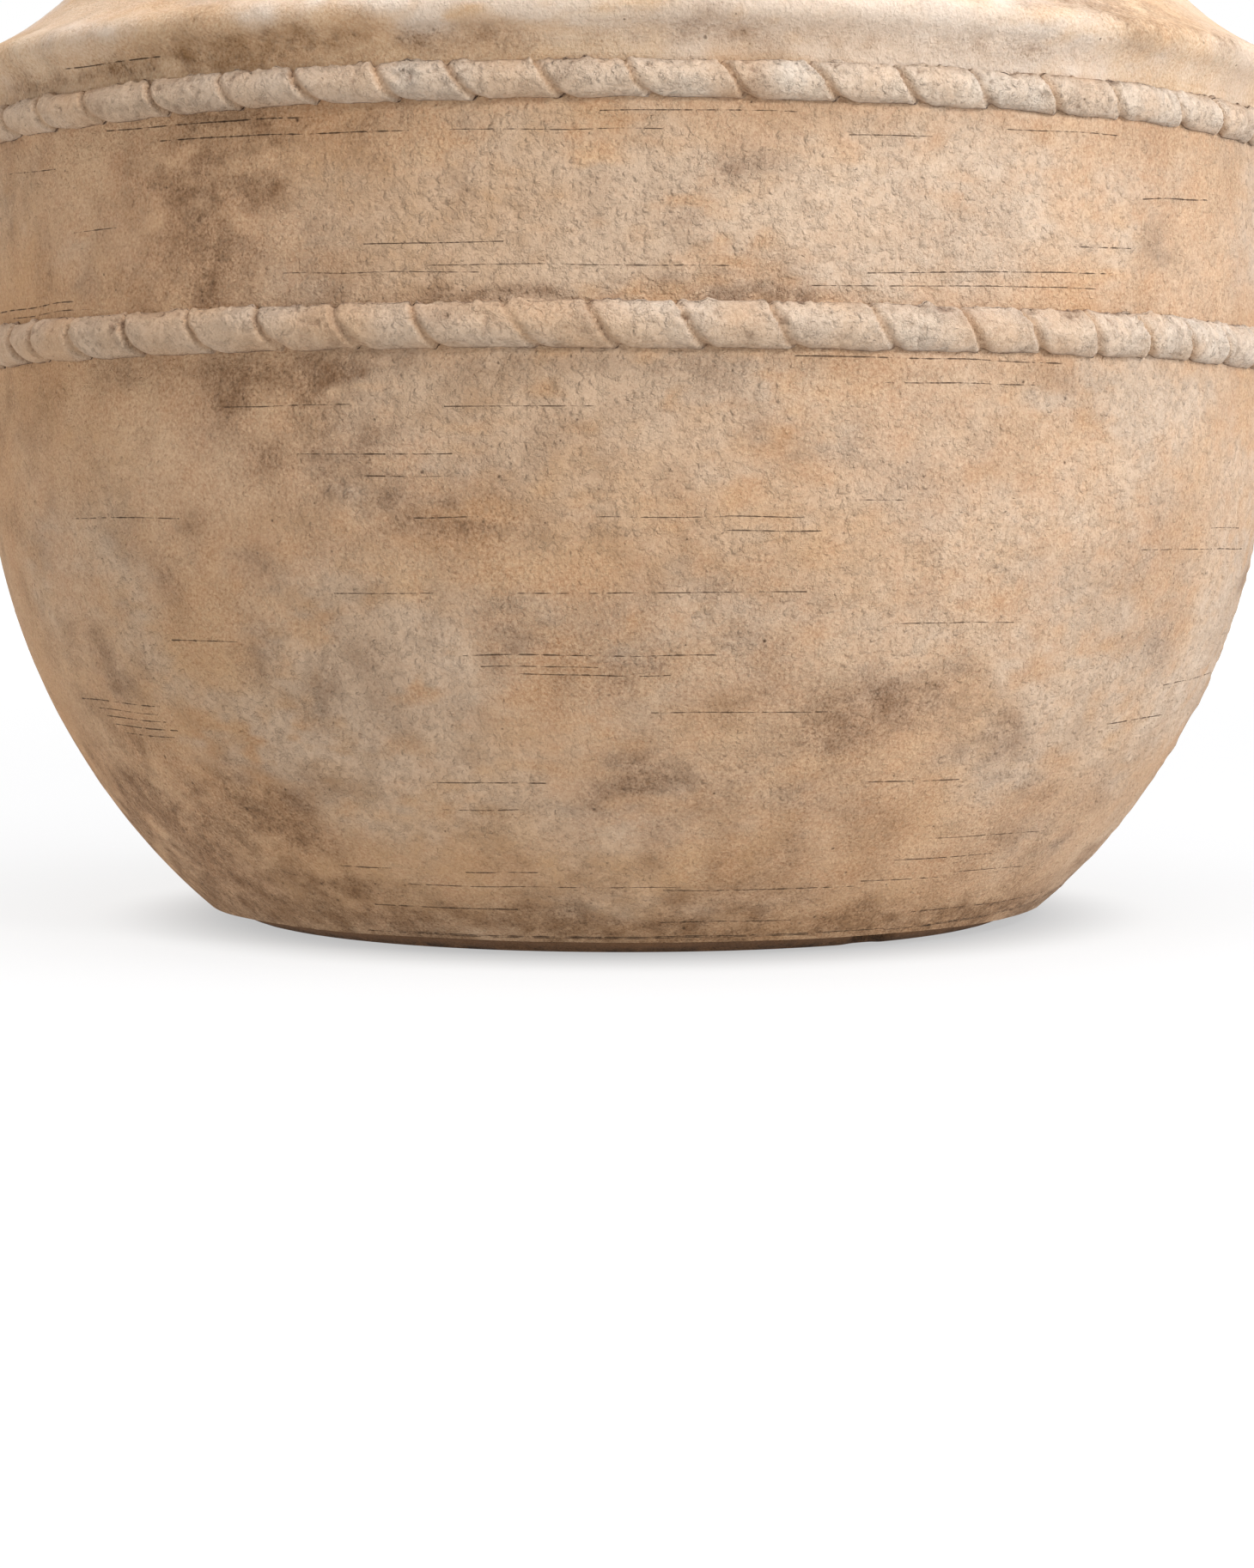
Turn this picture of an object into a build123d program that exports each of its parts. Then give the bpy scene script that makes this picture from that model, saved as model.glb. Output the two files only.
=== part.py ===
"""Greek pithos: a wide storage jar raised from clay rings on a floor slab, with two applied rope bands.

Millimetres, +Z up along the jar's axis, with the origin at the centre of the underside.
The wall is drawn once as a half section (X is the radius, Y the height) and scarf joints cut it
into the rings that the potter sets one on another. Each rope band seats on the belly over a joint.
"""

import os
from math import asin, cos, degrees, radians, tan

from build123d import *

# Floor slab and foot
foot_radius = 174.5
foot_edge_height = 6.0
foot_step = 1.5
floor_thickness = 18.0

# Wall: a bowl that is a zone of a sphere, then a belly that leans out a little
wall = 18.0
bowl_radius = 291.3
equator_height = 225.0
belly_lean = 1.4

# Rope bands, each centred on a joint of the belly
lower_band_rise = 28.5
lower_band_width = 18.7
lower_band_relief = 8.6
upper_band_rise = 92.0
upper_band_width = 15.6
upper_band_relief = 7.6

# Rope impressions, pressed across each band with a round tool
mark_count = 54
mark_slant = 42.0
mark_depth = 3.0
mark_tool_radius = 4.2
mark_edge = 0.6
lower_mark_angle = -84.5
upper_mark_angle = -88.6

# Cove over the upper band, rounded ledge, and hollow shoulder that runs up into the neck
cove_gap = 1.7
cove_radius = 15.0
cove_turn = 50.0
nose_radius = 7.0
shoulder_pitch = 24.4
shoulder_radius = 150.0
neck_flare = 11.5
inner_corner_radius = 14.0

# Rolled rim
rim_height = 32.0
rim_flat = 7.0
rim_lip_radius = 6.0

# Scarf joints, each rising inwards, at these lengths of clay strip along the wall
scarf_angle = 30.0
bowl_strip = 87.0
shoulder_strip = 76.0

lower_band_height = equator_height + lower_band_rise
upper_band_height = lower_band_height + upper_band_rise
cove_height = upper_band_height + upper_band_width / 2 + cove_gap
cavity_radius = bowl_radius - wall
joint_reach = 4 * wall


def belly_radius(height, sphere_radius=bowl_radius):
    """Radius at a height of the belly's straight side, which is tangent to the bowl's sphere."""
    lean = radians(belly_lean)
    return sphere_radius / cos(lean) + (height - equator_height) * tan(lean)


def latitude(height, radius):
    """Angle in degrees, from the bowl's centre, of the point at a height on a sphere of this radius."""
    return degrees(asin((height - equator_height) / radius))


def scarf_joint(edge, length):
    """Ends, outside and inside, of a joint line that crosses the wall this far along its outline."""
    point = edge.position_at(length, PositionMode.LENGTH)
    tangent = edge.tangent_at(length, PositionMode.LENGTH)
    inwards = tangent.rotate(Axis.Z, 90 - scarf_angle)
    return point - inwards * joint_reach, point + inwards * joint_reach


# Outside of the jar, from the slab's edge to the rim, closed along the axis
bowl_start = latitude(foot_edge_height, bowl_radius)
with BuildSketch() as jar_section:
    with BuildLine():
        bowl = CenterArc((0, equator_height), bowl_radius, bowl_start, -belly_lean - bowl_start)
        belly = Line(bowl @ 1, (belly_radius(cove_height), cove_height))
        cove = JernArc(belly @ 1, belly % 1, cove_radius, -cove_turn)
        nose = JernArc(cove @ 1, cove % 1, nose_radius, 90 + belly_lean + cove_turn - shoulder_pitch)
        shoulder = JernArc(nose @ 1, nose % 1, shoulder_radius, shoulder_pitch - 90 - neck_flare)
        underside = Line(shoulder @ 1, shoulder @ 1 + Vector(rim_flat, 0))
        roll = CenterArc(underside @ 1 + Vector(0, rim_height / 2), rim_height / 2, -90, 180)
        Polyline(roll @ 1, (0, (roll @ 1).Y), (0, foot_edge_height), bowl @ 0)
    make_face()

# Hollow inside, one wall thickness in from the bowl, the belly and the shoulder
cavity_top = (roll @ 1).Y + wall
cavity_start = latitude(floor_thickness, cavity_radius)
with BuildSketch() as cavity:
    with BuildLine():
        inner_bowl = CenterArc((0, equator_height), cavity_radius, cavity_start, -belly_lean - cavity_start)
        inner_belly = Line(inner_bowl @ 1, (belly_radius(cavity_top, cavity_radius), cavity_top))
        Polyline(inner_belly @ 1, (0, cavity_top), (0, floor_thickness), inner_bowl @ 0)
    make_face()
    with Locations(shoulder.arc_center):
        Circle(shoulder_radius + wall, mode=Mode.SUBTRACT)
    fillet(cavity.vertices().sort_by(Axis.X)[-1], inner_corner_radius)

with BuildSketch() as wall_section:
    add(jar_section.sketch)
    add(cavity.sketch, mode=Mode.SUBTRACT)
    fillet(wall_section.vertices().group_by(Axis.Y)[-1].sort_by(Axis.X)[0], rim_lip_radius)

# Joints, from the slab's edge up to the rim
floor_edge = inner_bowl @ 0
foot_inwards = (floor_edge - bowl @ 0).normalized()
foot_joint = (bowl @ 0 - foot_inwards * joint_reach, bowl @ 0 + foot_inwards * joint_reach)
lower_bowl_joint = scarf_joint(bowl, bowl_strip)
upper_bowl_joint = scarf_joint(bowl, 2 * bowl_strip)
lower_band_joint = scarf_joint(belly, (lower_band_height - (belly @ 0).Y) / cos(radians(belly_lean)))
upper_band_joint = scarf_joint(belly, (upper_band_height - (belly @ 0).Y) / cos(radians(belly_lean)))
neck_joint = scarf_joint(shoulder, shoulder_strip)
rim_joint = scarf_joint(shoulder, shoulder.length)
rim_crown = tuple(end + Vector(0, rim_height + joint_reach) for end in rim_joint)

os.makedirs("parts", exist_ok=True)

# Floor slab with a bevelled edge, which the first ring laps over and leaves showing as a thin step
with BuildPart() as base_slab:
    with BuildSketch(Plane.XZ):
        with BuildLine():
            slab_edge = bowl @ 0 + foot_inwards * foot_step
            Polyline((0, 0), (foot_radius, 0), slab_edge, floor_edge, (0, floor_thickness), close=True)
        make_face()
    revolve(axis=Axis.Z)
base_slab.part.label = "base_slab"
export_step(base_slab.part, "parts/base_slab.step")

# Wall rings and the rim: each is the stretch of the wall between two joints, turned about the axis
rings = {
    "bowl_ring_lower": (foot_joint, lower_bowl_joint),
    "bowl_ring_middle": (lower_bowl_joint, upper_bowl_joint),
    "bowl_ring_upper": (upper_bowl_joint, lower_band_joint),
    "belly_ring": (lower_band_joint, upper_band_joint),
    "shoulder_ring": (upper_band_joint, neck_joint),
    "neck_ring": (neck_joint, rim_joint),
    "rim_coil": (rim_joint, rim_crown),
}
for name, (lower, upper) in rings.items():
    with BuildPart() as ring:
        with BuildSketch(Plane.XZ):
            add(wall_section.sketch)
            with BuildLine():
                Polyline(lower[0], lower[1], upper[1], upper[0], close=True)
            make_face(mode=Mode.INTERSECT)
        revolve(axis=Axis.Z)
    ring.part.label = name
    export_step(ring.part, f"parts/{name}.step")

# Rope bands: half-round coils seated on the belly's cone, with slanted grooves pressed across them.
# Each groove is cut by a ring-shaped tool whose inner circle keeps an even depth over the round.
rope_bands = {
    "rope_band_lower": (lower_band_height, lower_band_width, lower_band_relief, lower_mark_angle),
    "rope_band_upper": (upper_band_height, upper_band_width, upper_band_relief, upper_mark_angle),
}
for name, (height, width, relief, mark_angle) in rope_bands.items():
    low = height - width / 2
    high = height + width / 2
    crest = belly_radius(height) + relief
    groove_chord = (width / 2 - mark_edge) / cos(radians(mark_slant))
    groove_rise = relief - mark_depth
    groove_radius = (groove_chord**2 + groove_rise**2) / (2 * groove_rise)
    with BuildPart() as band:
        with BuildSketch(Plane.XZ):
            with BuildLine():
                seat = Line((belly_radius(low), low), (belly_radius(high), high))
                ThreePointArc(seat @ 0, (crest, height), seat @ 1)
            make_face()
        revolve(axis=Axis.Z)
        with Locations((0, 0, height)):
            with PolarLocations(crest - mark_depth - groove_radius, mark_count, start_angle=mark_angle):
                Torus(
                    groove_radius + mark_tool_radius,
                    mark_tool_radius,
                    rotation=(90 + mark_slant, 0, 0),
                    mode=Mode.SUBTRACT,
                )
    band.part.label = name
    export_step(band.part, f"parts/{name}.step")
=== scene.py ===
"""Greek pithos: the clay jar as it looks, built up in the potter's order from the floor slab.

Shapes are worked out in millimetres. Angles are degrees round the axis from the front, positive to the
right. Each mesh is written in metres, in the frame of the solids that it stands for.
"""

import bmesh
import bpy
import numpy as np
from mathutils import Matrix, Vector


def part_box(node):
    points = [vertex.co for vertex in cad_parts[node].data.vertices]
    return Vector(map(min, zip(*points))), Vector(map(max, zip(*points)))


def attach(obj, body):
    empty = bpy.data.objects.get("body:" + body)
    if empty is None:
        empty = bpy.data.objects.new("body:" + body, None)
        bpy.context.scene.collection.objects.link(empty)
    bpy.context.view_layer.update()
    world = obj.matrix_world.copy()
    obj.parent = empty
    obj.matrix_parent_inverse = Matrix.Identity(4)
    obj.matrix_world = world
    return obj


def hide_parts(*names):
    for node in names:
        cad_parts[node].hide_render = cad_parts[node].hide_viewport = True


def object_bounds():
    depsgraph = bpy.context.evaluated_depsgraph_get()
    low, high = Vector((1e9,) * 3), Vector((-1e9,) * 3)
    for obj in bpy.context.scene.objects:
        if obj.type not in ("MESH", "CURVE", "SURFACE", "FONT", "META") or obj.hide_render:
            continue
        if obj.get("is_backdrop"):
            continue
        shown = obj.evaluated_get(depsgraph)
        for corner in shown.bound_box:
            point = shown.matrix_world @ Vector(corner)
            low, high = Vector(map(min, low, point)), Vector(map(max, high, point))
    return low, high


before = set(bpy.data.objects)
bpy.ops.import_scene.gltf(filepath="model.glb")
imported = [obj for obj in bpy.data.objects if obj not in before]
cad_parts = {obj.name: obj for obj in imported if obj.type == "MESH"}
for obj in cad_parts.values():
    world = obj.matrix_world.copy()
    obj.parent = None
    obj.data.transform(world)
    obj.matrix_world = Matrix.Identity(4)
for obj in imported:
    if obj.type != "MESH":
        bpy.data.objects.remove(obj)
cad_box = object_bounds()


# Floor slab: a disc of coarse clay beaten out flat on the ground, with its edge cut to a bevel.
# The first ring laps over the bevel and leaves it showing as a dark step round the foot, chipped in
# one place: its clay is darker, and painted shade darkens it further towards the ground and in the
# chip. The fired clay that all the pieces are made of is worked out here too.
MM = 0.001
foot_radius = 174.5
foot_arris = 2.0
arris_rise = 0.4
slab_edge_height = 7.0
slab_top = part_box("base_slab")[1] / MM
floor_edge_radius = 178.4
underside_step = 30.0
edge_step = 1.4
floor_step = 8.0
ring_columns = 1152
wear_start = 2.0
ground_shade_height = 2.4
seam_dirt = 1.1
slab_rust = 0.3
chip_angle = 35.5
chip_half_width = 9.5
chip_height = 3.4
chip_half_height = 2.2
chip_depth = 5.0
unscored = 100.0
sharp_angle = 55.0
pole_gap = 0.01
lattice_size = 64
lattice = np.random.default_rng(41).uniform(-1, 1, (lattice_size,) * 3)
lattice_turn = np.linalg.qr(np.random.default_rng(7).normal(size=(3, 3)))[0]


def cloud(points, cell, shift=0.0):
    """Smooth noise between -1 and 1: every corner of a cubic lattice with this cell, turned off the axes,
    has a random value, and a point takes the mean of the eight corners round it, weighted by its eased
    distance to each."""
    spot = points @ lattice_turn / cell + shift
    corner = np.floor(spot).astype(int)
    ease = spot - corner
    ease = ease * ease * (3 - 2 * ease)
    total = np.zeros(points.shape[:-1])
    for side in np.ndindex(2, 2, 2):
        weight = np.where(side, ease, 1 - ease).prod(axis=-1)
        index = np.moveaxis((corner + side) % lattice_size, -1, 0)
        total += weight * lattice[tuple(index)]
    return total


def spaced(step, *paths):
    """Joins outlines of (radius, height) end to end and sets points along them, evenly, this far apart."""
    path = np.concatenate([np.asarray(part, float) for part in paths])
    length = np.append(0, np.cumsum(np.linalg.norm(np.diff(path, axis=0), axis=1)))
    even = np.linspace(0, length[-1], max(2, round(length[-1] / step) + 1))
    return np.stack([np.interp(even, length, path[:, axis]) for axis in (0, 1)], axis=1)


def turned(profile, columns):
    """Carries a profile round the axis: x is the radius times the angle's sine, y is minus the radius
    times its cosine, and z is the height, at equal steps of the angle."""
    angle = np.radians(np.linspace(-180, 180, columns, endpoint=False))
    radius, height = profile.T[..., None]
    return np.stack([radius * np.sin(angle), -radius * np.cos(angle), height + 0 * angle], axis=-1)


def outward(profile, columns):
    """Unit directions square to a profile that runs up the outside: its own direction, a quarter turn to
    the right, carried round the axis with it."""
    along = np.gradient(profile, axis=0)
    along /= np.linalg.norm(along, axis=1, keepdims=True)
    return turned(along[:, ::-1] * (1, -1), columns)


def angles(points):
    """Angle in degrees round the axis, from the front and positive to the right: the arctangent of x over
    minus y."""
    return np.degrees(np.arctan2(points[..., 0], -points[..., 1]))


def clay_piece(name, points, wash, score, closed=True):
    """Joins a grid of points into quads: each point to the next round the axis and to the next row, and,
    if closed, the last row to the first. If not, each end row is a pole, and its points become one. All
    points stay in the box of the solids. The finish reads wash (slip, stain and rust, 0 to 1) and score
    (mm up from the nearest scratch, in three sets, or unscored where none is near)."""
    rows, columns = points.shape[:2]
    index = np.arange(rows * columns).reshape(rows, columns)
    right = np.roll(index, -1, axis=1)
    quads = np.stack([index, right, np.roll(right, -1, axis=0), np.roll(index, -1, axis=0)], axis=-1)
    quads = quads if closed else quads[:-1]
    inside_box = np.clip(points * MM, *cad_box)
    mesh = bpy.data.meshes.new(name)
    mesh.from_pydata(inside_box.reshape(-1, 3).tolist(), [], quads.reshape(-1, 4).tolist())
    for label, values in (("wash", wash), ("score", score)):
        layer = mesh.attributes.new(label, "FLOAT_VECTOR", "POINT")
        layer.data.foreach_set("vector", np.broadcast_to(values, points.shape).astype(np.float32).ravel())
    mesh.polygons.foreach_set("use_smooth", np.ones(len(mesh.polygons), bool))
    if not closed:
        poles = bmesh.new()
        poles.from_mesh(mesh)
        bmesh.ops.remove_doubles(poles, verts=poles.verts, dist=pole_gap * MM)
        poles.to_mesh(mesh)
        poles.free()
    mesh.set_sharp_from_angle(angle=np.radians(sharp_angle))
    piece = bpy.data.objects.new(name, mesh)
    bpy.context.scene.collection.objects.link(piece)
    return piece


def linear(code):
    """Linear colour of an sRGB hex value, each channel taken back through the sRGB curve."""
    channel = np.array([int(code[place:place + 2], 16) for place in (1, 3, 5)]) / 255
    curve = np.where(channel <= 0.04045, channel / 12.92, ((channel + 0.055) / 1.055) ** 2.4)
    return (*curve.tolist(), 1.0)


def add_node(tree, kind, sockets, **settings):
    """Adds a shader node, sets its properties, and gives each socket a value or a link to an output."""
    made = tree.nodes.new("ShaderNode" + kind)
    for label, value in settings.items():
        setattr(made, label, value)
    for socket, value in sockets.items():
        if isinstance(value, bpy.types.NodeSocket):
            tree.links.new(value, made.inputs[socket])
        else:
            made.inputs[socket].default_value = value
    return made


def fired_clay(name, shade, light, slip, stain, rust, crack, lump_height, crumb_height, brush=0.4):
    """Unglazed clay, fired once, brushed with lime slip and weathered: dull, gritty and blotched.

    The body's colour drifts between shade and light in blotches, brush strokes and grain. Slip, rust and
    stain lie over it where the wash attribute says, broken up by the same noises. The score attribute is
    drawn as fine broken scratches. Dirt and painted shade of the crack colour fill them and the pores,
    and lightly the low grain and the gaps between lumps. Pattern sizes and heights are in mm, and the
    heights make one bump.
    """
    stroke_size = (120.0, 120.0, 1.6)
    dash_size = (5.0, 5.0, 30.0)
    pore_spacing = 6.0
    scratch_half_width = 0.46
    crumb_spacing = 3.4
    crumb_bend = 3.5
    bend_size = 3.0
    slip_edge_height = 0.2 * lump_height
    grain_height = 0.9
    stroke_height = 0.5
    mark_depth = 0.8
    tone_shares = {"mottle": 1.0, "stroke": brush, "grain": 2.2}
    tone_half_range = 0.38
    ragged_edge = 0.18

    material = bpy.data.materials.new(name)
    material.use_nodes = True
    tree = material.node_tree
    tree.nodes.clear()

    # The clay's grit is finer than a millimetre, and is drawn at 1.2 mm so that it shows
    place = add_node(tree, "TexCoord", {}).outputs["Object"]
    noise = {}
    for label, size, detail in (
        ("blotch", 46.0, 5.0),
        ("mottle", 11.0, 6.0),
        ("lump", 3.4, 4.0),
        ("grain", 1.2, 4.0),
    ):
        sockets = {"Vector": place, "Scale": 1 / (size * MM), "Detail": detail, "Roughness": 0.67}
        noise[label] = add_node(tree, "TexNoise", sockets).outputs["Fac"]
    # Brush strokes are long and narrow, and a scratch breaks up every few millimetres
    for label, size in (("stroke", stroke_size), ("dash", dash_size)):
        scale = [1 / (length * MM) for length in size]
        stretched = add_node(tree, "Mapping", {"Vector": place, "Scale": scale}).outputs["Vector"]
        sockets = {"Vector": stretched, "Scale": 1.0, "Detail": 3.0, "Roughness": 0.6, "Distortion": 0.5}
        noise[label] = add_node(tree, "TexNoise", sockets).outputs["Fac"]

    # The brush shows only in places, where the blotches are pale
    sockets = {"Value": noise["blotch"], "From Min": 0.5, "From Max": 0.65}
    brushed = add_node(tree, "MapRange", sockets).outputs[0]
    sockets = {0: brushed, 2: 0.5, 3: noise["stroke"]}
    noise["stroke"] = add_node(tree, "Mix", sockets, data_type="FLOAT").outputs[0]

    wash = add_node(tree, "Attribute", {}, attribute_name="wash").outputs["Vector"]
    laid = add_node(tree, "SeparateXYZ", {0: wash}).outputs

    # Body colour: the four noises added up, stretched to the whole range between the two tones
    tone = noise["blotch"]
    for label, share in tone_shares.items():
        sockets = {0: noise[label], 1: share, 2: tone}
        tone = add_node(tree, "Math", sockets, operation="MULTIPLY_ADD").outputs[0]
    middle = 0.5 * (1 + sum(tone_shares.values()))
    sockets = {"Value": tone, "From Min": middle - tone_half_range, "From Max": middle + tone_half_range}
    tone = add_node(tree, "MapRange", sockets).outputs[0]
    sockets = {0: tone, 6: linear(shade), 7: linear(light)}
    colour = add_node(tree, "Mix", sockets, data_type="RGBA").outputs[2]

    # Slip, rust and stain: the attribute's strength times a ragged noise. Slip and rust lie more on the
    # high grain, and stain in the low
    for socket, tint, grit, thin, full in (
        ("X", slip, 0.5, 0.6, 1.0),
        ("Z", rust, 0.15, 0.2, 0.65),
        ("Y", stain, -0.35, 0.12, 0.9),
    ):
        sockets = {0: noise["grain"], 1: grit, 2: noise["mottle"]}
        ragged = add_node(tree, "Math", sockets, operation="MULTIPLY_ADD").outputs[0]
        middle = 0.5 + 0.5 * grit
        sockets = {"Value": ragged, "From Min": middle - ragged_edge, "From Max": middle + ragged_edge}
        broken = add_node(tree, "MapRange", {**sockets, "To Min": thin, "To Max": full}).outputs[0]
        share = add_node(tree, "Math", {0: broken, 1: laid[socket]}, operation="MULTIPLY").outputs[0]
        sockets = {0: share, 6: colour, 7: linear(tint)}
        colour = add_node(tree, "Mix", sockets, data_type="RGBA").outputs[2]

    # Pores: some cells of a Voronoi pattern hold a small hole, painted dark with shade, more of them where
    # it is stained
    cell = add_node(tree, "TexVoronoi", {"Vector": place, "Scale": 1 / (pore_spacing * MM)})
    chance = add_node(tree, "SeparateXYZ", {0: cell.outputs["Color"]}).outputs["X"]
    sockets = {0: laid["Y"], 1: 0.14, 2: chance}
    chance = add_node(tree, "Math", sockets, operation="MULTIPLY_ADD").outputs[0]
    sockets = {"Value": chance, "From Min": 0.8, "From Max": 1.1, "To Max": 0.2}
    hole = add_node(tree, "MapRange", sockets).outputs[0]
    sockets = {"Value": cell.outputs["Distance"], "From Min": hole, "From Max": 0.0}
    marks = add_node(tree, "MapRange", sockets).outputs[0]

    # Scratches: each line is as wide as the dash noise lets it be
    sockets = {"Value": noise["dash"], "From Min": 0.38, "From Max": 0.68, "To Max": scratch_half_width}
    width = add_node(tree, "MapRange", sockets).outputs[0]
    score = add_node(tree, "Attribute", {}, attribute_name="score").outputs["Vector"]
    for line in add_node(tree, "SeparateXYZ", {0: score}).outputs:
        gap = add_node(tree, "Math", {0: line}, operation="ABSOLUTE").outputs[0]
        drawn = add_node(tree, "MapRange", {"Value": gap, "From Min": width, "From Max": 0.0}).outputs[0]
        marks = add_node(tree, "Math", {0: marks, 1: drawn}, operation="MAXIMUM").outputs[0]

    # Crumbs: a cell of a Voronoi pattern, bent by noise, may hold a domed grain of clay
    sockets = {"Vector": place, "Scale": 1 / (bend_size * MM), "Detail": 2.0}
    bend = add_node(tree, "TexNoise", sockets).outputs["Color"]
    sockets = {0: bend, 1: (crumb_bend * MM,) * 3, 2: place}
    bent = add_node(tree, "VectorMath", sockets, operation="MULTIPLY_ADD").outputs["Vector"]
    cell = add_node(tree, "TexVoronoi", {"Vector": bent, "Scale": 1 / (crumb_spacing * MM)})
    chance = add_node(tree, "SeparateXYZ", {0: cell.outputs["Color"]}).outputs["X"]
    sockets = {"Value": chance, "From Min": 0.35, "From Max": 1.0, "To Min": 0.05, "To Max": 0.8}
    reach = add_node(tree, "MapRange", sockets).outputs[0]
    sockets = {"Value": cell.outputs["Distance"], "From Min": reach, "From Max": 0.0}
    sockets["To Max"] = crumb_height
    crumbs = add_node(tree, "MapRange", sockets, interpolation_type="SMOOTHSTEP").outputs[0]

    # Slip ends in ragged edges, where the mottle noise is cut to a step
    sockets = {0: noise["lump"], 1: 0.35, 2: noise["mottle"]}
    ragged = add_node(tree, "Math", sockets, operation="MULTIPLY_ADD").outputs[0]
    sockets = {"Value": ragged, "From Min": 0.63, "From Max": 0.74, "To Max": slip_edge_height}
    step = add_node(tree, "MapRange", sockets, interpolation_type="SMOOTHSTEP").outputs[0]

    # Lumps rise out of flat ground where the lump noise is high
    sockets = {"Value": noise["lump"], "From Min": 0.45, "From Max": 0.72, "To Max": 0.5 * lump_height}
    lumps = add_node(tree, "MapRange", sockets, interpolation_type="SMOOTHSTEP").outputs[0]

    # Relief: crumbs, edges and lumps stand higher in blotches and where slip lies thick
    thick = noise["mottle"]
    for output, share in ((laid["X"], 0.6), (noise["blotch"], 1.2)):
        sockets = {0: output, 1: share, 2: thick}
        thick = add_node(tree, "Math", sockets, operation="MULTIPLY_ADD").outputs[0]
    sockets = {"Value": thick, "From Min": 1.0, "From Max": 1.6, "To Min": 0.4, "To Max": 1.0}
    thick = add_node(tree, "MapRange", sockets).outputs[0]
    crust = crumbs
    for layer in (step, lumps):
        crust = add_node(tree, "Math", {0: crust, 1: layer}, operation="ADD").outputs[0]
    height = add_node(tree, "Math", {0: crust, 1: thick}, operation="MULTIPLY").outputs[0]
    # Grain and strokes run all over, and the marks are cut in
    for output, rise in (
        (noise["grain"], grain_height),
        (noise["stroke"], stroke_height),
        (marks, -mark_depth),
    ):
        sockets = {0: output, 1: rise, 2: height}
        height = add_node(tree, "Math", sockets, operation="MULTIPLY_ADD").outputs[0]

    # Dirt and painted shade in the hollows: all of the marks, and lightly the low grain and the gaps
    # between lumps, most where it is stained
    sockets = {0: laid["Y"], 1: -0.1, 2: noise["grain"]}
    low = add_node(tree, "Math", sockets, operation="MULTIPLY_ADD").outputs[0]
    sockets = {"Value": low, "From Min": 0.38, "From Max": 0.2, "To Max": 0.35}
    dirt_and_shade = add_node(tree, "MapRange", sockets).outputs[0]
    sockets = {"Value": noise["lump"], "From Min": 0.52, "From Max": 0.27, "To Max": 0.4}
    gaps = add_node(tree, "MapRange", sockets).outputs[0]
    soiled = add_node(tree, "Math", {0: laid["Y"], 1: 1.2, 2: 0.25}, operation="MULTIPLY_ADD").outputs[0]
    sockets = {0: gaps, 1: soiled, 2: dirt_and_shade}
    dirt_and_shade = add_node(tree, "Math", sockets, operation="MULTIPLY_ADD").outputs[0]
    sockets = {0: marks, 1: 0.9, 2: dirt_and_shade}
    dirt_and_shade = add_node(tree, "Math", sockets, operation="MULTIPLY_ADD", use_clamp=True).outputs[0]
    sockets = {0: dirt_and_shade, 6: colour, 7: linear(crack)}
    colour = add_node(tree, "Mix", sockets, data_type="RGBA").outputs[2]

    bump = add_node(tree, "Bump", {"Height": height, "Distance": MM}).outputs["Normal"]
    sockets = {"Base Color": colour, "Roughness": 0.92, "IOR": 1.45, "Specular IOR Level": 0.25}
    surface = add_node(tree, "BsdfPrincipled", {**sockets, "Normal": bump}).outputs[0]
    add_node(tree, "OutputMaterial", {"Surface": surface})
    return material


slab_edge = [(foot_radius - foot_arris, 0), (foot_radius, arris_rise), (slab_top.x, slab_edge_height)]
slab_outline = (
    spaced(underside_step, [(0, 0), slab_edge[0]])[:-1],
    spaced(edge_step, slab_edge),
    spaced(floor_step, [(floor_edge_radius, slab_top.z), (0, slab_top.z)]),
)
slab_profile = np.concatenate(slab_outline)
slab_points = turned(slab_profile, ring_columns)
slab_rise = slab_points[..., 2]
under_floor = slab_rise < slab_top.z - 1
bevel = np.clip(slab_rise / wear_start, 0, 1) * under_floor
chip_across = np.radians(angles(slab_points) - chip_angle) * slab_top.x / chip_half_width
chip_up = (slab_rise - chip_height) / chip_half_height
chip = np.exp(-(chip_across ** 4) - chip_up ** 2) * under_floor
slab_wear = 0.5 * cloud(slab_points, 22) + 0.35 * cloud(slab_points, 7) - 0.4
slab_points += outward(slab_profile, ring_columns) * (bevel * slab_wear - chip * chip_depth)[..., None]
# Painted contact shade: the slab darkens towards the ground and in its chip. The line along its top is its
# dark seam
slab_shade_and_seam = np.exp(-((slab_rise / ground_shade_height) ** 2))
slab_shade_and_seam += np.exp(-(((slab_rise - slab_edge_height) / seam_dirt) ** 2))
slab_stain_and_shade = np.clip(0.25 + 0.3 * cloud(slab_points, 30) + slab_shade_and_seam + 2 * chip, 0, 1)
slab_wash = np.stack(np.broadcast_arrays(0.0, slab_stain_and_shade, slab_rust), axis=-1)
slab = clay_piece("floor_slab", slab_points, slab_wash, unscored, closed=False)
# Foot clay: the same clay without slip, its own darker brown deepened with painted shade where the bowl
# overhangs it
foot_clay_and_shade = fired_clay(
    "foot_fired_clay_and_shade",
    shade="#7A5638",
    light="#90694A",
    slip="#8A7052",
    stain="#2A1D12",
    rust="#6E4A2A",
    crack="#1E140C",
    lump_height=1.6,
    crumb_height=0.6,
)
slab.data.materials.append(foot_clay_and_shade)
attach(slab, "root")
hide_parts("base_slab")


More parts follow.
